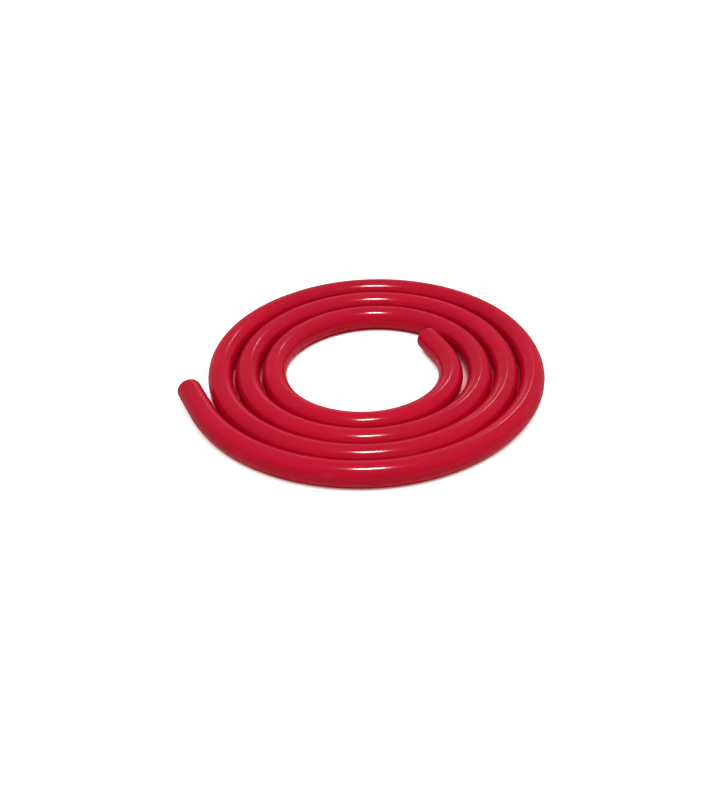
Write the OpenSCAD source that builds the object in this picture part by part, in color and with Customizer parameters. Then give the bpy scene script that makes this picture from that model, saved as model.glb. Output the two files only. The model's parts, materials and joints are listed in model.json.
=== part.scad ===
// Rubber vacuum tubing: one heavy-walled tube with a round bore, cut square
// at both ends and laid flat in a loose, slightly oval coil.
// Millimetres and degrees. The tubing lies on z = 0, +Z is up, and the origin
// is under the middle of the whole coil.

/* [Tubing] */
// Diameter of the bore
bore_d = 6; // [4:0.5:10]
// Thickness of the wall
wall_t = 5; // [3:0.5:7]
// Length of the straight stretch at the outer end
outer_end_l = 29; // [10:1:40]
// Length of the straight stretch at the inner end
inner_end_l = 20.5; // [10:0.5:24]

/* [Coil] */
// Number of turns between the two straight ends
turns = 3.5; // [1.5:0.25:5]
// Radius that the coil is bent to at its inner end
inner_bend_r = 55.5; // [48:0.5:90]
// Gap between neighbouring turns where they lie closest
closest_gap = 0.3; // [0.3:0.1:6]
// Direction that the side of the inner end faces, counted from +X
inner_side = 24; // [-90:1:90]

/* [Lay] */
// How much the bend radius rises and falls from quarter to quarter, at the inner end
oval = 5.25; // [0:0.25:8]
// How much more it rises and falls for each turn outwards
oval_growth = 1.5; // [0:0.25:4]
// How far each turn is shifted towards the wide side, which spreads the turns
drift = 1.8; // [0:0.2:5]
// Direction of that wide side, counted from +X
drift_side = 95; // [0:5:355]

/* [Hidden] */
$fn = 96;

tube_d = bore_d + 2 * wall_t;
tube_r = tube_d / 2;

// The coil is a chain of quarter bends, numbered outwards from the inner end.
// It is worked out with the side of the inner end facing +X, where every
// joint lies along an axis, and is then turned as one piece.
bends = round(4 * turns);
sweep = 90 * bends;

function dir(a) = [cos(a), sin(a)];

// Directions that the joint outside bend i and the middle of bend i face
function joint_side(i) = -90 * (i + 1);
function bend_side(i) = -90 * i - 45;

// How far bend i departs from a plain spiral: every other bend is wider
function lay(i) =
    (i % 2 == 0 ? 1 : -1) * (oval + oval_growth * (i + 0.5) / 4)
    + drift / sqrt(8) * sin(bend_side(i) - drift_side + inner_side);

// How much the gap outside bend i differs from a plain spiral's, at angle b
// from the bend's outer joint
function spread(i, b) =
    drift * cos(joint_side(i) + b - drift_side + inner_side)
    + (i % 2 == 0 ? 1 : -1) * oval_growth * (1 - sin(b) - cos(b));

// The narrowest place sets the pitch, so that neighbouring turns never meet.
pitch = tube_d + closest_gap - min([for (i = [0 : 3], b = [0 : 5 : 90]) spread(i, b)]);

function spiral_r(i) = inner_bend_r + pitch * (i + 0.5) / 4 + lay(i);

// The straight inner end would run into the next turn, which bends away from
// it. So bend 1 is tighter by this much, and the end clears that turn by the
// same gap. With the inner end's bend centred on the origin, its tip lies at
// [spiral_r(0), inner_end_l], and tightening bend 1 moves the centre of the
// next turn's bend by as much along X as against Y.
next_x = spiral_r(2) - spiral_r(1);
next_y = spiral_r(1) + spiral_r(2) - spiral_r(0) - spiral_r(3);
next_r = spiral_r(3) - tube_d - closest_gap;
tip_x = spiral_r(0) - next_x;
tip_y = inner_end_l - next_y;
tuck = max(0, (tip_x - tip_y - sqrt(2 * pow(next_r, 2) - pow(tip_x + tip_y, 2))) / 2);

// The radius of each bend, to a thousandth so that the bends meet exactly, and
// the centre that makes each bend carry on from the last one
bend_r = [
    for (i = [0 : bends - 1])
        round(1000 * (spiral_r(i) - (i == 1 ? tuck : 0))) / 1000
];
centres = [
    for (i = 0, c = [0, 0]; i < bends;
         c = c + (bend_r[i] - bend_r[min(i + 1, bends - 1)]) * dir(joint_side(i)),
         i = i + 1)
    c
];

// Where the coil meets its straight ends, and the middle of each cut face
outer_side = joint_side(bends - 1);
inner_start = centres[0] + [bend_r[0], 0];
outer_start = centres[bends - 1] + bend_r[bends - 1] * dir(outer_side);
inner_tip = inner_start + inner_end_l * dir(90);
outer_tip = outer_start - outer_end_l * dir(outer_side + 90);

// How far the coil reaches in direction a before it is turned: every bend that
// faces that way, and the rims of the two cut faces
function bend_reach(i, a) = centres[i] * dir(a) + bend_r[i] + tube_r;
function rim_reach(tip, tip_side, a) = tip * dir(a) + tube_r * abs(cos(a - tip_side));
function reach(a) = max([
    for (s = [(720 - a) % 360 : 360 : sweep]) bend_reach(min(floor(s / 90), bends - 1), a),
    rim_reach(inner_tip, 0, a),
    rim_reach(outer_tip, outer_side, a)
]);

// How far the coil's box reaches once it is turned, and the box's middle
function turned_reach(a) = reach(a - inner_side);
middle = [turned_reach(0) - turned_reach(180), turned_reach(90) - turned_reach(270)] / 2;

// The tubing's section: a round wall around a round bore
module section() {
    difference() {
        circle(d = tube_d);
        circle(d = bore_d);
    }
}

// Bend i of the coil, from its outer joint to its inner one
module bend(i) {
    translate(centres[i])
        rotate(joint_side(i))
            rotate_extrude(angle = 90)
                translate([bend_r[i], 0])
                    section();
}

// A straight stretch that leaves point p with its side facing direction a;
// way is 1 for the inner end and -1 for the outer end
module straight_end(p, a, way, length) {
    translate(p)
        rotate([-90 * way, 0, a])
            linear_extrude(length)
                section();
}

module vacuum_tubing() {
    color("crimson")
        translate([-middle.x, -middle.y, tube_r])
            rotate(inner_side) {
                straight_end(inner_start, 0, 1, inner_end_l);
                for (i = [0 : bends - 1])
                    bend(i);
                straight_end(outer_start, outer_side, -1, outer_end_l);
            }
}

vacuum_tubing();
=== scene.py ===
"""Looks of a coil of rubber vacuum tubing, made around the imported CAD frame.

Geometry Nodes sweep the red tube along the coil's route, with its bore, its rounded lips and
its cut faces. The rubber is procedural. A plain white studio with a camera goes round it.
"""

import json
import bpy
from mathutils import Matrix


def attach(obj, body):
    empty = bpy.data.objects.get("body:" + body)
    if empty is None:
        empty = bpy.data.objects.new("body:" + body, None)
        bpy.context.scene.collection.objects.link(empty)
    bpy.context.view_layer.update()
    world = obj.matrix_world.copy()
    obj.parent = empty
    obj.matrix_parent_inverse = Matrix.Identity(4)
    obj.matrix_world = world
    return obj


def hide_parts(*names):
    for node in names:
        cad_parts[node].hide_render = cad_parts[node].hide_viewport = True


bl_info = {
    "name": "Coiled Rubber Vacuum Tubing",
    "version": (1, 0, 0),
    "blender": (4, 5, 0),
    "location": "3D View > Sidebar > Tubing",
    "description": "Lays a flat coil of thick-walled rubber tubing in a plain white studio",
    "category": "Add Mesh",
}

from math import cos, pi, radians, sin, sqrt

import bpy
from bpy.props import FloatProperty, FloatVectorProperty, IntProperty, PointerProperty
from mathutils import Matrix, Vector

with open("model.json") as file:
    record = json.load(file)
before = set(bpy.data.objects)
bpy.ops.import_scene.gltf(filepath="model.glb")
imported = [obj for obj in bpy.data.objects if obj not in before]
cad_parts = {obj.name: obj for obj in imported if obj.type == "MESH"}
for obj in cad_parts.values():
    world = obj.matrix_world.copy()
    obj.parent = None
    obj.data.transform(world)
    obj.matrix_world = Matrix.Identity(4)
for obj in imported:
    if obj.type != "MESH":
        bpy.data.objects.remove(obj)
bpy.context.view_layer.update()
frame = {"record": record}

BODY = "root"
NODE = "vacuum_tubing"
SLOT = "red_rubber"
PIECE = "rubber_tube"

MM = 0.001
# The bore mounts give the tube's outer tip, its bore and the length of its straight ends. The
# tube lies flat, so the height of its middle is half its outside diameter.
MOUNTS = {mount["name"]: mount for mount in frame["record"]["mounts"]}
OUTER_TIP = Vector(MOUNTS["outer_bore"]["pos_m"])
OUTER_END = MOUNTS["outer_bore"]["dims"]["length_mm"] * MM
INNER_END = MOUNTS["inner_bore"]["dims"]["length_mm"] * MM
BORE_D = 2 * MOUNTS["outer_bore"]["dims"]["r_mm"] * MM
TUBE_D = 2 * MOUNTS["outer_bore"]["pos_m"][2]

# Rings of the mesh across a rounded lip, and the fewest along one quarter bend
LIP_RINGS = 5
BEND_RINGS = 12
# Points closer than this are welded where the wall, the bore and the cut faces meet
WELD = 2e-6
# Waves in the wall for each metre along, across and up the tube
WAVES = (45.0, 90.0, 90.0)
# A ring within this share of the lip from the full radius counts as outside the lip
RING_SLACK = 0.05

# Patterns in the rubber: how fine the noise is for each metre along, across and up the tube,
# its detail, and the values between which it is spread from 0 to 1
PATCHES = ((14.0, 70.0, 70.0), 3.0, 0.35, 0.65)
LINES = ((9.0, 1500.0, 1500.0), 2.0, 0.3, 0.7)
SMEARS = ((60.0, 260.0, 260.0), 4.0, 0.6, 0.78)
GRAIN = ((2600.0, 2600.0, 2600.0), 2.0, 0.3, 0.7)
KNIFE_MARKS = ((0.0, 250.0, 3200.0), 2.0, 0.3, 0.7)
# How much of the bloom's colour a smear has, and from which share of the tube's radius above
# its middle the painted sheen along the top starts
SMEAR_BLOOM = 0.35
PAINTED_SHEEN_FROM = 0.35
# What patches, smears and cut faces add to the roughness
PATCH_ROUGHNESS = 0.06
SMEAR_ROUGHNESS = 0.12
CUT_ROUGHNESS = 0.25
# Heights of the patterns in the skin and in a cut face, each times the relief
LINE_HEIGHT = 0.6
GRAIN_HEIGHT = 0.4
KNIFE_HEIGHT = 6.0
RUBBER_IOR = 1.5

# The floor, and how far it lies under the tube so that the two share no plane
FLOOR_SIDE = 12.0
FLOOR_DROP = 0.0002
# How far the floor looks round for rubber, and the shares of open air at which it counts as
# shut in and as open; where shut in, the floor gets painted shade and painted red bounce light
SHADE_REACH = 0.012
SHADE_SAMPLES = 16
SHUT_IN = 0.225
OPEN = 0.35

# Places of the lamps, and the width and height of each
OVERHEAD = (0.12, -0.41, 1.6)
BEHIND = (0.39, 1.57, 1.18)
LOW_BEHIND = (0, 1.6, 0.54)
KEY_SIZE = (0.3, 0.1)
GLOSS_SIZE = (0.3, 0.12)
BACK_SIZE = (0.15, 0.15)
RIM_SIZE = (0.6, 0.2)

# Width of the camera's film in millimetres, and the nearest that it sees
FILM_WIDTH = 36
NEAREST = 0.01


# ---------------------------------------------------------------- what a user would change


class TubingSizes(bpy.types.PropertyGroup):
    """Sizes of the tube and of the coil that it lies in."""

    tube_d: FloatProperty(
        name="Outside", description="Outside diameter of the tube",
        default=TUBE_D, min=0.008, unit="LENGTH",
    )
    bore_d: FloatProperty(
        name="Bore", description="Diameter of the bore",
        default=BORE_D, min=0.002, unit="LENGTH",
    )
    lip: FloatProperty(
        name="Lip", description="Radius that the cut edges are rounded to",
        default=0.35 * MM, min=0.05 * MM, unit="LENGTH",
    )
    outer_end: FloatProperty(
        name="Outer end", description="Straight length at the outer end of the tube",
        default=OUTER_END, unit="LENGTH",
    )
    inner_end: FloatProperty(
        name="Inner end", description="Straight length at the inner end of the tube",
        default=INNER_END, unit="LENGTH",
    )
    turns: FloatProperty(
        name="Turns", description="Turns in the coil, in quarters", default=3.5, min=1.5,
    )
    inner_bend_r: FloatProperty(
        name="Innermost radius",
        description="Radius on which the coil starts, to the tube's middle",
        default=55.5 * MM, unit="LENGTH",
    )
    closest_gap: FloatProperty(
        name="Closest gap", description="Gap between two turns where they come closest",
        default=0.3 * MM, unit="LENGTH",
    )
    inner_side: FloatProperty(
        name="Inner side", description="Side of the coil on which the inner end lies",
        default=radians(24), unit="ROTATION",
    )
    oval: FloatProperty(
        name="Oval", description="How much the bends differ from a round coil",
        default=5.25 * MM, unit="LENGTH",
    )
    oval_growth: FloatProperty(
        name="Oval growth", description="How much more they differ with each turn",
        default=1.5 * MM, unit="LENGTH",
    )
    drift: FloatProperty(
        name="Drift", description="How far each turn lies off the one inside it",
        default=1.8 * MM, unit="LENGTH",
    )
    drift_side: FloatProperty(
        name="Drift side", description="Side towards which the turns spread",
        default=radians(95), unit="ROTATION",
    )
    unevenness: FloatProperty(
        name="Unevenness", description="Depth of the shallow waves in the extruded wall",
        default=0.05 * MM, min=0, unit="LENGTH",
    )
    sides: IntProperty(name="Sides", description="Facets around the tube", default=64, min=12)
    step: FloatProperty(
        name="Step", description="Distance between two rings of the mesh",
        default=3.2 * MM, min=0.5 * MM, unit="LENGTH",
    )


class RubberLook(bpy.types.PropertyGroup):
    """Colours and gloss of the rubber."""

    red: FloatVectorProperty(
        name="Red", description="Colour of the rubber",
        subtype="COLOR", size=3, min=0, max=1, default=(0.57, 0.001, 0.022),
    )
    deep_red: FloatVectorProperty(
        name="Deep red", description="Colour of its darker patches",
        subtype="COLOR", size=3, min=0, max=1, default=(0.5, 0.001, 0.018),
    )
    # Pale colour of the handling smears, and of the painted sheen that lightens the top as if lit
    # from above
    bloom_and_sheen: FloatVectorProperty(
        name="Bloom", description="Colour of the pale bloom that handling leaves",
        subtype="COLOR", size=3, min=0, max=1, default=(0.62, 0.03, 0.08),
    )
    cut_red: FloatVectorProperty(
        name="Cut red", description="Colour of the freshly cut faces",
        subtype="COLOR", size=3, min=0, max=1, default=(0.5, 0.02, 0.03),
    )
    roughness: FloatProperty(
        name="Roughness", description="Roughness of the rubber under its gloss",
        default=0.45, min=0, max=1, subtype="FACTOR",
    )
    # Painted sheen: how much the top of the tube is paled, standing in for the light from above
    painted_top_sheen: FloatProperty(
        name="Top bloom", description="How much of the bloom lies along the top",
        default=0.13, min=0, max=1, subtype="FACTOR",
    )
    gloss: FloatProperty(
        name="Gloss", description="Strength of the gloss on its skin",
        default=0.16, min=0, max=1, subtype="FACTOR",
    )
    gloss_roughness: FloatProperty(
        name="Gloss roughness", description="How much the gloss blurs what it mirrors",
        default=0.14, min=0, max=1, subtype="FACTOR",
    )
    relief: FloatProperty(
        name="Relief", description="Height of the fine lines and the grain in its skin",
        default=0.006 * MM, min=0, unit="LENGTH", precision=6,
    )


class StudioLook(bpy.types.PropertyGroup):
    """Camera, light and floor."""

    view_aim: FloatVectorProperty(
        name="View aim", description="Point on the floor that the camera faces",
        size=3, subtype="XYZ", unit="LENGTH", default=(0.0004, -0.0228, 0.0), precision=4,
    )
    view_elevation: FloatProperty(
        name="View elevation", description="Angle at which the camera looks down",
        default=radians(33.32), unit="ROTATION",
    )
    view_distance: FloatProperty(
        name="View distance", description="Distance from the camera to the point that it faces",
        default=0.7965, unit="LENGTH",
    )
    view_roll: FloatProperty(
        name="View roll", description="How far the camera leans to its side",
        default=0.0067, unit="ROTATION",
    )
    lens: FloatProperty(
        name="Lens", description="Focal length of the camera, in millimetres", default=55.06,
    )
    key_power: FloatProperty(
        name="Key lamp", description="Power of the small lamp overhead",
        default=17.0, unit="POWER",
    )
    gloss_power: FloatProperty(
        name="Gloss lamp", description="Power of the lamp beside it that only a gloss shows",
        default=66.0, unit="POWER",
    )
    back_power: FloatProperty(
        name="Back lamp", description="Power of the lamp behind that draws thin lights",
        default=2.5, unit="POWER",
    )
    rim_power: FloatProperty(
        name="Rim lamp", description="Power of the low lamp behind that pales the far edges",
        default=1.15, unit="POWER",
    )
    sky: FloatProperty(
        name="Sky", description="Strength of the soft light from all around", default=0.36,
    )
    floor_white: FloatProperty(
        name="Floor", description="How white the floor is", default=0.8, subtype="FACTOR",
    )
    floor_lift: FloatProperty(
        name="Floor lift", description="Light added to the floor where the camera sees it",
        default=0.75, subtype="FACTOR",
    )
    # Painted bounce light: a red glow on the floor where the rubber shuts it in
    thrown_red: FloatVectorProperty(
        name="Thrown red", description="Light that the rubber throws on the floor it shuts in",
        subtype="COLOR", size=3, min=0, max=1, default=(0.26, 0.0015, 0.004),
    )
    # Painted shade: the dark red colour of the floor where two turns shut it in
    painted_shade_red: FloatVectorProperty(
        name="Shut in red", description="Colour of the floor where two turns shut it in",
        subtype="COLOR", size=3, min=0, max=1, default=(0.4, 0.004, 0.006),
    )


# ---------------------------------------------------------------- the coil's route


def unit_at(angle):
    """A flat direction of length 1 at an angle from +X."""
    return Vector((cos(angle), sin(angle)))


def joint_side(bend):
    """Direction from a bend's centre to the joint on its outer end."""
    return -pi / 2 * (bend + 1)


def spiral_radii(sizes):
    """Radius of each quarter bend of the coil, from the inside out."""
    bends = round(4 * sizes.turns)
    room = sizes.tube_d + sizes.closest_gap
    turned = sizes.inner_side - sizes.drift_side

    def sign(bend):
        """Even bends are the wide ones of the oval, odd bends the narrow ones."""
        return 1 if bend % 2 == 0 else -1

    def lay(bend):
        """How far a bend's radius departs from an even spiral, by the oval and the drift."""
        along = sin(-pi / 2 * bend - pi / 4 + turned)
        grown = sizes.oval + sizes.oval_growth * (bend + 0.5) / 4
        return sign(bend) * grown + sizes.drift / sqrt(8) * along

    def spread(bend, angle):
        """How much further apart two turns lie there than the pitch alone puts them."""
        across = sizes.drift * cos(joint_side(bend) + angle + turned)
        return across + sign(bend) * sizes.oval_growth * (1 - sin(angle) - cos(angle))

    # Looked at every 5 degrees, two turns come no closer anywhere than the closest gap.
    quarter = [radians(5 * step) for step in range(19)]
    pitch = room - min(spread(bend, angle) for bend in range(4) for angle in quarter)
    radii = [sizes.inner_bend_r + pitch * (i + 0.5) / 4 + lay(i) for i in range(bends)]

    # The second bend is tucked in until the inner tip clears the turn beside it.
    tip_x = radii[0] - (radii[2] - radii[1])
    tip_y = sizes.inner_end - (radii[1] + radii[2] - radii[0] - radii[3])
    next_r = radii[3] - room
    tuck = (tip_x - tip_y - sqrt(2 * next_r**2 - (tip_x + tip_y) ** 2)) / 2
    radii[1] -= max(0, tuck)
    return [round(radius / MM, 3) * MM for radius in radii]


def lip_steps(sizes):
    """Distances from a cut face at which its rounded lip has rings."""
    turns = [step * pi / 2 / LIP_RINGS for step in range(LIP_RINGS + 1)]
    return [sizes.lip * (1 - cos(turn)) for turn in turns]


def straight(start, way, length, sizes):
    """Points of a straight end, from its cut tip to where the coil takes over."""
    near = lip_steps(sizes)
    count = max(2, round((length - near[-1]) / sizes.step))
    far = [near[-1] + (length - near[-1]) * i / count for i in range(1, count)]
    return [start + way * (length - along) for along in near + far]


def coil_route(sizes):
    """Flat points along the middle of the tube, from the inner tip to the outer one."""
    radii = spiral_radii(sizes)
    centre = Vector((0, 0))
    inner_start = centre + Vector((radii[0], 0))
    points = straight(inner_start, unit_at(pi / 2), sizes.inner_end, sizes)
    for bend, radius in enumerate(radii):
        if bend:
            centre = centre + (radii[bend - 1] - radius) * unit_at(joint_side(bend - 1))
        count = max(BEND_RINGS, round(radius * pi / 2 / sizes.step))
        for i in range(count):
            angle = joint_side(bend) + pi / 2 * (1 - i / count)
            points.append(centre + radius * unit_at(angle))
    last_side = joint_side(len(radii) - 1)
    outer_start = centre + radii[-1] * unit_at(last_side)
    points.append(outer_start)
    ending = straight(outer_start, -unit_at(last_side + pi / 2), sizes.outer_end, sizes)
    points += ending[::-1]
    return [Matrix.Rotation(sizes.inner_side, 2) @ point for point in points]


def placed_route(sizes):
    """The route as the CAD model has it, with its outer tip at the outer bore's mouth."""
    flat = coil_route(sizes)
    return [(point - flat[-1]).to_3d() + OUTER_TIP for point in flat]


# ---------------------------------------------------------------- node helpers


def add_node(tree, kind, inputs=None, **settings):
    """Adds a node, and links or sets each named or numbered input."""
    made = tree.nodes.new(kind)
    for name, value in settings.items():
        setattr(made, name, value)
    for key, value in (inputs or {}).items():
        if isinstance(value, bpy.types.NodeSocket):
            tree.links.new(value, made.inputs[key])
        else:
            made.inputs[key].default_value = value
    return made


def maths(tree, operation, *values):
    """Result of one sum on numbers or sockets."""
    inputs = dict(enumerate(values))
    return add_node(tree, "ShaderNodeMath", inputs, operation=operation).outputs[0]


def vector_maths(tree, operation, *values, output="Vector"):
    """Result of one sum on vectors."""
    inputs = dict(enumerate(values))
    node = add_node(tree, "ShaderNodeVectorMath", inputs, operation=operation)
    return node.outputs[output]


def scaled(tree, vector, factor):
    """A vector made longer or shorter."""
    inputs = {0: vector, "Scale": factor}
    return add_node(tree, "ShaderNodeVectorMath", inputs, operation="SCALE").outputs["Vector"]


def weighed(tree, base, *shares):
    """A base value plus each amount times its share."""
    total = base
    for amount, share in shares:
        total = maths(tree, "ADD", maths(tree, "MULTIPLY", amount, share), total)
    return total


def blend(tree, amount, start, end):
    """One colour mixed into another, each a socket or three numbers."""
    inputs = {0: amount}
    for key, colour in ((6, start), (7, end)):
        linked = isinstance(colour, bpy.types.NodeSocket)
        inputs[key] = colour if linked else (*colour, 1)
    return add_node(tree, "ShaderNodeMix", inputs, data_type="RGBA").outputs[2]


# ---------------------------------------------------------------- the tube


def new_tube_tree():
    """An empty tree for the sweep, with its named inputs, and the sockets that give them."""
    tree = bpy.data.node_groups.new("rubber_tube_sweep", "GeometryNodeTree")
    face = tree.interface
    face.new_socket("Route", in_out="INPUT", socket_type="NodeSocketGeometry")
    for name in ("Outer radius", "Bore radius", "Lip", "Unevenness"):
        socket = face.new_socket(name, in_out="INPUT", socket_type="NodeSocketFloat")
        socket.subtype = "DISTANCE"
    face.new_socket("Sides", in_out="INPUT", socket_type="NodeSocketInt")
    face.new_socket("Rubber", in_out="INPUT", socket_type="NodeSocketMaterial")
    face.new_socket("Tube", in_out="OUTPUT", socket_type="NodeSocketGeometry")
    return tree, tree.nodes.new("NodeGroupInput").outputs


def carried_route(tree, route, along):
    """The route, level all along, whose points carry their place, way and length."""
    level = add_node(tree, "GeometryNodeSetCurveNormal", {"Curve": route}, mode="Z_UP")
    place = add_node(tree, "GeometryNodeInputPosition").outputs[0]
    way = add_node(tree, "GeometryNodeInputTangent").outputs[0]
    carried = add_node(tree, "GeometryNodeCaptureAttribute", domain="POINT")
    for kind, name in (("VECTOR", "Middle"), ("VECTOR", "Way"), ("FLOAT", "Along")):
        carried.capture_items.new(kind, name)
    tree.links.new(level.outputs["Curve"], carried.inputs["Geometry"])
    for name, value in (("Middle", place), ("Way", way), ("Along", along)):
        tree.links.new(value, carried.inputs[name])
    return carried.outputs


def lip_sink(tree, lip, along):
    """How far a ring sinks into the wall at a rounded lip, and 0 away from both ends."""
    length = add_node(tree, "GeometryNodeSplineLength").outputs["Length"]
    from_end = maths(tree, "MINIMUM", along, maths(tree, "SUBTRACT", length, along))
    # The lip is a quarter circle, so a ring sinks by lip - sqrt(lip^2 - inside^2).
    inside = maths(tree, "MAXIMUM", maths(tree, "SUBTRACT", lip, from_end), 0.0)
    lip_squared = maths(tree, "MULTIPLY", lip, lip)
    inside_squared = maths(tree, "MULTIPLY", inside, inside)
    rest = maths(tree, "SUBTRACT", lip_squared, inside_squared)
    rise = maths(tree, "SQRT", maths(tree, "MAXIMUM", rest, 0.0))
    return maths(tree, "SUBTRACT", lip, rise)


def swept_wall(tree, carried, ring, radius):
    """The outside or the bore: a ring of some radius, swept along the route."""
    return add_node(
        tree, "GeometryNodeCurveToMesh",
        {"Curve": carried["Geometry"], "Profile Curve": ring, "Scale": radius},
    ).outputs["Mesh"]


def with_cut_faces(tree, outside, given, carried):
    """The outside with its cut faces, made from its open rings drawn in to the bore's."""
    neighbours = add_node(tree, "GeometryNodeInputMeshEdgeNeighbors").outputs[0]
    open_edge = add_node(
        tree, "FunctionNodeCompare", {"A": neighbours, "B": 1}, data_type="INT", operation="EQUAL"
    ).outputs[0]
    cut = add_node(
        tree, "GeometryNodeExtrudeMesh",
        {"Mesh": outside, "Selection": open_edge, "Offset Scale": 0.0}, mode="EDGES",
    )
    bore_ring = maths(tree, "ADD", given["Bore radius"], given["Lip"])
    outer_ring = maths(tree, "SUBTRACT", given["Outer radius"], given["Lip"])
    place = add_node(tree, "GeometryNodeInputPosition").outputs[0]
    off = vector_maths(tree, "SUBTRACT", place, carried["Middle"])
    drawn_in = scaled(tree, off, maths(tree, "DIVIDE", bore_ring, outer_ring))
    closed = add_node(
        tree, "GeometryNodeSetPosition",
        {
            "Geometry": cut.outputs["Mesh"],
            "Selection": cut.outputs["Top"],
            "Position": vector_maths(tree, "ADD", carried["Middle"], drawn_in),
        },
    ).outputs[0]
    return add_node(
        tree, "GeometryNodeStoreNamedAttribute",
        {"Geometry": closed, "Name": "cut_face", "Value": cut.outputs["Side"]},
        data_type="BOOLEAN", domain="FACE",
    ).outputs[0]


def with_straightened(tree, tube, radial, carried):
    """The tube with coordinates that run along, across and up it, with no seam round it."""
    sideways = vector_maths(tree, "CROSS_PRODUCT", carried["Way"], (0.0, 0.0, 1.0))
    across = vector_maths(tree, "DOT_PRODUCT", radial, sideways, output="Value")
    height = add_node(tree, "ShaderNodeSeparateXYZ", {0: radial}).outputs["Z"]
    straightened = add_node(
        tree, "ShaderNodeCombineXYZ", {"X": carried["Along"], "Y": across, "Z": height}
    ).outputs[0]
    return add_node(
        tree, "GeometryNodeStoreNamedAttribute",
        {"Geometry": tube, "Name": "straightened", "Value": straightened},
        data_type="FLOAT_VECTOR", domain="POINT",
    ).outputs[0]


def with_waves(tree, tube, radial, given):
    """The tube with shallow waves, which only take rubber away and keep its stated size."""
    stored = add_node(
        tree, "GeometryNodeInputNamedAttribute", {"Name": "straightened"},
        data_type="FLOAT_VECTOR",
    ).outputs["Attribute"]
    wave = add_node(
        tree, "ShaderNodeTexNoise",
        {"Vector": vector_maths(tree, "MULTIPLY", stored, WAVES), "Scale": 1.0, "Detail": 1.0},
    ).outputs[0]
    # Only the outside has waves, where its rings aren't sunk into a lip.
    from_middle = vector_maths(tree, "MULTIPLY", stored, (0.0, 1.0, 1.0))
    reach = vector_maths(tree, "LENGTH", from_middle, output="Value")
    slack = maths(tree, "MULTIPLY", given["Lip"], RING_SLACK)
    on_skin = add_node(
        tree, "FunctionNodeCompare",
        {"A": reach, "B": maths(tree, "SUBTRACT", given["Outer radius"], slack)},
        data_type="FLOAT", operation="GREATER_THAN",
    ).outputs[0]
    depth = maths(tree, "MULTIPLY", maths(tree, "MULTIPLY", wave, given["Unevenness"]), -1.0)
    dent = scaled(tree, vector_maths(tree, "NORMALIZE", radial), depth)
    return add_node(
        tree, "GeometryNodeSetPosition",
        {"Geometry": tube, "Selection": on_skin, "Offset": dent},
    ).outputs[0]


def with_flat_cuts(tree, tube):
    """The tube shaded smooth, but for its cut faces."""
    is_cut = add_node(
        tree, "GeometryNodeInputNamedAttribute", {"Name": "cut_face"}, data_type="BOOLEAN"
    ).outputs["Attribute"]
    not_cut = add_node(tree, "FunctionNodeBooleanMath", {0: is_cut}, operation="NOT").outputs[0]
    return add_node(
        tree, "GeometryNodeSetShadeSmooth", {"Geometry": tube, "Shade Smooth": not_cut}
    ).outputs[0]


def tube_tree():
    """Geometry Nodes that sweep the wall, the bore and the cut faces along a route."""
    tree, given = new_tube_tree()
    along = add_node(tree, "GeometryNodeSplineParameter").outputs["Length"]
    carried = carried_route(tree, given["Route"], along)
    sink = lip_sink(tree, given["Lip"], along)
    ring = add_node(
        tree, "GeometryNodeCurvePrimitiveCircle", {"Resolution": given["Sides"], "Radius": 1.0}
    ).outputs["Curve"]
    outer_radius = maths(tree, "SUBTRACT", given["Outer radius"], sink)
    bore_radius = maths(tree, "ADD", given["Bore radius"], sink)
    outside = swept_wall(tree, carried, ring, outer_radius)
    bore = swept_wall(tree, carried, ring, bore_radius)
    bore = add_node(tree, "GeometryNodeFlipFaces", {"Mesh": bore}).outputs[0]

    joined = tree.nodes.new("GeometryNodeJoinGeometry")
    tree.links.new(bore, joined.inputs[0])
    tree.links.new(with_cut_faces(tree, outside, given, carried), joined.inputs[0])
    tube = add_node(
        tree, "GeometryNodeMergeByDistance", {"Geometry": joined.outputs[0], "Distance": WELD}
    ).outputs[0]

    place = add_node(tree, "GeometryNodeInputPosition").outputs[0]
    radial = vector_maths(tree, "SUBTRACT", place, carried["Middle"])
    tube = with_straightened(tree, tube, radial, carried)
    tube = with_waves(tree, tube, radial, given)
    tube = with_flat_cuts(tree, tube)
    real = add_node(tree, "GeometryNodeRealizeInstances", {"Geometry": tube}).outputs[0]
    done = add_node(
        tree, "GeometryNodeSetMaterial", {"Geometry": real, "Material": given["Rubber"]}
    ).outputs[0]
    out = tree.nodes.new("NodeGroupOutput")
    tree.links.new(done, out.inputs["Tube"])
    return tree


def route_curve(route):
    """An object whose curve is one open line through the route's points."""
    line = bpy.data.curves.new("tube_route", "CURVE")
    line.dimensions = "3D"
    spline = line.splines.new("POLY")
    spline.points.add(len(route) - 1)
    for point, place in zip(spline.points, route):
        point.co = (*place, 1)
    carrier = bpy.data.objects.new("tube_route", line)
    bpy.context.scene.collection.objects.link(carrier)
    return carrier


def sweep_tube(route, sizes, rubber):
    """A plain mesh object of the tube, made by the Geometry Nodes tree on its route."""
    carrier = route_curve(route)
    tree = tube_tree()
    modifier = carrier.modifiers.new("sweep", "NODES")
    modifier.node_group = tree
    values = {
        "Outer radius": sizes.tube_d / 2,
        "Bore radius": sizes.bore_d / 2,
        "Lip": sizes.lip,
        "Unevenness": sizes.unevenness,
        "Sides": sizes.sides,
        "Rubber": rubber,
    }
    for socket in tree.interface.items_tree:
        if socket.in_out == "INPUT" and socket.name in values:
            modifier[socket.identifier] = values[socket.name]
    bpy.context.view_layer.update()
    swept = carrier.evaluated_get(bpy.context.evaluated_depsgraph_get())
    mesh = bpy.data.meshes.new_from_object(swept)
    carrier.modifiers.remove(modifier)
    bpy.data.objects.remove(carrier)
    mesh.name = PIECE
    piece = bpy.data.objects.new(PIECE, mesh)
    bpy.context.scene.collection.objects.link(piece)
    return piece


# ---------------------------------------------------------------- the rubber


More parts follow.
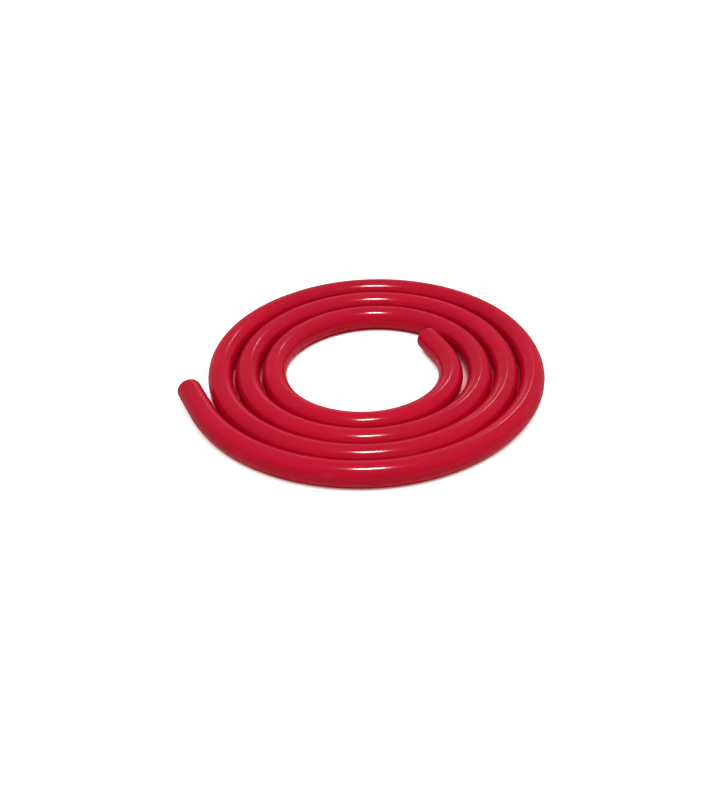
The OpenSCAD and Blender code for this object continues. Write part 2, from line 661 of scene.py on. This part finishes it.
def pattern(tree, straightened, per_metre, detail, low, high):
    """Noise along, across and up the tube, spread from 0 at its low value to 1 at its high."""
    noise = add_node(
        tree, "ShaderNodeTexNoise",
        {
            "Vector": vector_maths(tree, "MULTIPLY", straightened, per_metre),
            "Scale": 1.0,
            "Detail": detail,
        },
    ).outputs[0]
    return add_node(
        tree, "ShaderNodeMapRange", {"Value": noise, "From Min": low, "From Max": high}
    ).outputs[0]


def painted_top_sheen(tree, straightened, radius, strength):
    """Painted sheen, standing in for light from above: none on the tube's sides, most along its
    top.
    """
    height = add_node(tree, "ShaderNodeSeparateXYZ", {0: straightened}).outputs["Z"]
    return add_node(
        tree, "ShaderNodeMapRange",
        {
            "Value": height,
            "From Min": PAINTED_SHEEN_FROM * radius,
            "From Max": radius,
            "To Max": strength,
        },
        interpolation_type="SMOOTHSTEP",
    ).outputs[0]


def rubber_material(look, radius):
    """Red rubber: smooth skin, extrusion lines, bloom smears, a painted top sheen, knife-cut
    faces.
    """
    rubber = bpy.data.materials.new(SLOT)
    rubber.use_nodes = True
    tree = rubber.node_tree
    skin = tree.nodes["Principled BSDF"]
    straightened = add_node(
        tree, "ShaderNodeAttribute", attribute_name="straightened"
    ).outputs["Vector"]
    is_cut = add_node(tree, "ShaderNodeAttribute", attribute_name="cut_face").outputs["Fac"]
    patches = pattern(tree, straightened, *PATCHES)
    smears = pattern(tree, straightened, *SMEARS)

    colour = blend(tree, patches, look.deep_red, look.red)
    colour = blend(tree, maths(tree, "MULTIPLY", smears, SMEAR_BLOOM), colour, look.bloom_and_sheen)
    # Painted sheen: the top is paled towards the bloom colour, for light falling from above.
    on_top = painted_top_sheen(tree, straightened, radius, look.painted_top_sheen)
    colour = blend(tree, on_top, colour, look.bloom_and_sheen)
    colour = blend(tree, is_cut, colour, look.cut_red)
    tree.links.new(colour, skin.inputs["Base Color"])

    rough = weighed(
        tree, look.roughness,
        (patches, PATCH_ROUGHNESS), (smears, SMEAR_ROUGHNESS), (is_cut, CUT_ROUGHNESS),
    )
    tree.links.new(rough, skin.inputs["Roughness"])

    lines = pattern(tree, straightened, *LINES)
    grain = pattern(tree, straightened, *GRAIN)
    marks = pattern(tree, straightened, *KNIFE_MARKS)
    skin_relief = weighed(tree, 0.0, (lines, LINE_HEIGHT), (grain, GRAIN_HEIGHT))
    cut_relief = maths(tree, "MULTIPLY", marks, KNIFE_HEIGHT)
    relief = add_node(
        tree, "ShaderNodeMix", {0: is_cut, 2: skin_relief, 3: cut_relief}
    ).outputs[0]
    bump = add_node(
        tree, "ShaderNodeBump", {"Height": relief, "Strength": 1.0, "Distance": look.relief}
    ).outputs[0]
    tree.links.new(bump, skin.inputs["Normal"])

    # The gloss is a coat alone, so it can be thin and smooth over a dull rubber.
    skin.inputs["IOR"].default_value = RUBBER_IOR
    skin.inputs["Specular IOR Level"].default_value = 0.0
    skin.inputs["Coat Weight"].default_value = look.gloss
    skin.inputs["Coat Roughness"].default_value = look.gloss_roughness
    return rubber


class TUBING_OT_lay(bpy.types.Operator):
    """Lay the rubber tube in its flat coil, over the CAD solid that it stands for"""

    bl_idname = "tubing.lay"
    bl_label = "Lay the tubing"

    def execute(self, context):
        sizes = context.scene.tubing_sizes
        route = placed_route(sizes)
        rubber = rubber_material(context.scene.tubing_rubber, sizes.tube_d / 2)
        tube = sweep_tube(route, sizes, rubber)
        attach(tube, BODY)
        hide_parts(NODE)
        return {"FINISHED"}


# ---------------------------------------------------------------- the studio


def seen_directly(tree):
    """1 for what the camera sees itself, in a gloss or through something clear, else 0."""
    path = add_node(tree, "ShaderNodeLightPath").outputs
    direct = maths(tree, "MAXIMUM", path["Is Camera Ray"], path["Is Glossy Ray"])
    return maths(tree, "MAXIMUM", direct, path["Is Transmission Ray"])


def floor_material(studio):
    """White floor, with painted shade and a painted red glow where the rubber shuts it in."""
    white = bpy.data.materials.new("white_floor")
    white.use_nodes = True
    tree = white.node_tree
    tree.nodes.remove(tree.nodes["Principled BSDF"])
    around = add_node(
        tree, "ShaderNodeAmbientOcclusion", {"Distance": SHADE_REACH}, samples=SHADE_SAMPLES
    ).outputs["AO"]
    openness = add_node(
        tree, "ShaderNodeMapRange", {"Value": around, "From Min": SHUT_IN, "From Max": OPEN}
    ).outputs[0]
    reached = add_node(
        tree, "ShaderNodeMapRange", {"Value": around, "From Min": 0.0, "From Max": SHUT_IN}
    ).outputs[0]
    # Painted shade and painted bounce light: shut in, the floor turns dark red and glows red when
    # seen.
    thrown = blend(tree, reached, (0, 0, 0), studio.thrown_red)
    shade = blend(tree, openness, studio.painted_shade_red, [studio.floor_white] * 3)
    glow = blend(tree, openness, thrown, [studio.floor_lift] * 3)
    matte = add_node(tree, "ShaderNodeBsdfDiffuse", {"Color": shade})
    lift = add_node(tree, "ShaderNodeEmission", {"Color": glow, "Strength": seen_directly(tree)})
    both = add_node(tree, "ShaderNodeAddShader", {0: matte.outputs[0], 1: lift.outputs[0]})
    tree.links.new(both.outputs[0], tree.nodes["Material Output"].inputs["Surface"])
    return white


def lay_floor(studio):
    """A wide floor just under the tube."""
    half = FLOOR_SIDE / 2
    corners = [(-half, -half), (half, -half), (half, half), (-half, half)]
    mesh = bpy.data.meshes.new("floor")
    mesh.from_pydata([(x, y, -FLOOR_DROP) for x, y in corners], [], [(0, 1, 2, 3)])
    mesh.materials.append(floor_material(studio))
    floor = bpy.data.objects.new("floor", mesh)
    bpy.context.scene.collection.objects.link(floor)


def hang_lamp(name, place, size, power, only_gloss=False):
    """A flat lamp that faces the middle of the coil, and may light nothing but glosses."""
    light = bpy.data.lights.new(name, "AREA")
    light.shape = "RECTANGLE"
    light.size, light.size_y = size
    light.energy = power
    lamp = bpy.data.objects.new(name, light)
    lamp.location = place
    lamp.rotation_euler = (-Vector(place)).to_track_quat("-Z", "Y").to_euler()
    lamp.visible_diffuse = not only_gloss
    bpy.context.scene.collection.objects.link(lamp)


def fill_sky(strength):
    """Soft light from all around, with a sky that is white where it is seen."""
    world = bpy.data.worlds.new("studio_sky")
    world.use_nodes = True
    tree = world.node_tree
    level = add_node(
        tree, "ShaderNodeMix", {0: seen_directly(tree), 2: strength, 3: 1.0}
    ).outputs[0]
    tree.links.new(level, tree.nodes["Background"].inputs["Strength"])
    tree.nodes["Background"].inputs["Color"].default_value = (1, 1, 1, 1)
    bpy.context.scene.world = world


def set_camera(studio):
    """A camera in front of the coil that looks down on it."""
    data = bpy.data.cameras.new("camera")
    data.lens = studio.lens
    data.sensor_width = FILM_WIDTH
    data.clip_start = NEAREST
    camera = bpy.data.objects.new("camera", data)
    aim = Vector(studio.view_aim)
    back = Vector((0, -cos(studio.view_elevation), sin(studio.view_elevation)))
    turn = back.to_track_quat("Z", "Y").to_matrix() @ Matrix.Rotation(studio.view_roll, 3, "Z")
    camera.matrix_world = Matrix.Translation(aim + studio.view_distance * back) @ turn.to_4x4()
    bpy.context.scene.collection.objects.link(camera)
    bpy.context.scene.camera = camera


class TUBING_OT_studio(bpy.types.Operator):
    """Set up the white floor, the soft light and the camera"""

    bl_idname = "tubing.studio"
    bl_label = "Set up the studio"

    def execute(self, context):
        studio = context.scene.tubing_studio
        lay_floor(studio)
        fill_sky(studio.sky)
        hang_lamp("key_lamp", OVERHEAD, KEY_SIZE, studio.key_power)
        hang_lamp("gloss_lamp", OVERHEAD, GLOSS_SIZE, studio.gloss_power, only_gloss=True)
        hang_lamp("back_lamp", BEHIND, BACK_SIZE, studio.back_power, only_gloss=True)
        hang_lamp("rim_lamp", LOW_BEHIND, RIM_SIZE, studio.rim_power, only_gloss=True)
        set_camera(studio)
        context.scene.view_settings.view_transform = "Standard"
        return {"FINISHED"}


# ---------------------------------------------------------------- panel and start


class TUBING_PT_panel(bpy.types.Panel):
    """Sizes, looks and steps of the tubing"""

    bl_idname = "TUBING_PT_panel"
    bl_label = "Vacuum tubing"
    bl_space_type = "VIEW_3D"
    bl_region_type = "UI"
    bl_category = "Tubing"

    def draw(self, context):
        scene = context.scene
        for group in (scene.tubing_sizes, scene.tubing_rubber, scene.tubing_studio):
            box = self.layout.box()
            for name in group.__annotations__:
                box.prop(group, name)
        self.layout.operator(TUBING_OT_lay.bl_idname)
        self.layout.operator(TUBING_OT_studio.bl_idname)


CLASSES = (
    TubingSizes, RubberLook, StudioLook, TUBING_OT_lay, TUBING_OT_studio, TUBING_PT_panel,
)
GROUPS = {
    "tubing_sizes": TubingSizes, "tubing_rubber": RubberLook, "tubing_studio": StudioLook,
}


def register():
    """Adds the classes, and a group of each kind to the scene."""
    for cls in CLASSES:
        bpy.utils.register_class(cls)
    for name, group in GROUPS.items():
        setattr(bpy.types.Scene, name, PointerProperty(type=group))


def unregister():
    """Takes them away again."""
    for name in GROUPS:
        delattr(bpy.types.Scene, name)
    for cls in reversed(CLASSES):
        bpy.utils.unregister_class(cls)


def main():
    register()
    bpy.ops.tubing.lay()
    bpy.ops.tubing.studio()


if __name__ == "__main__":
    main()
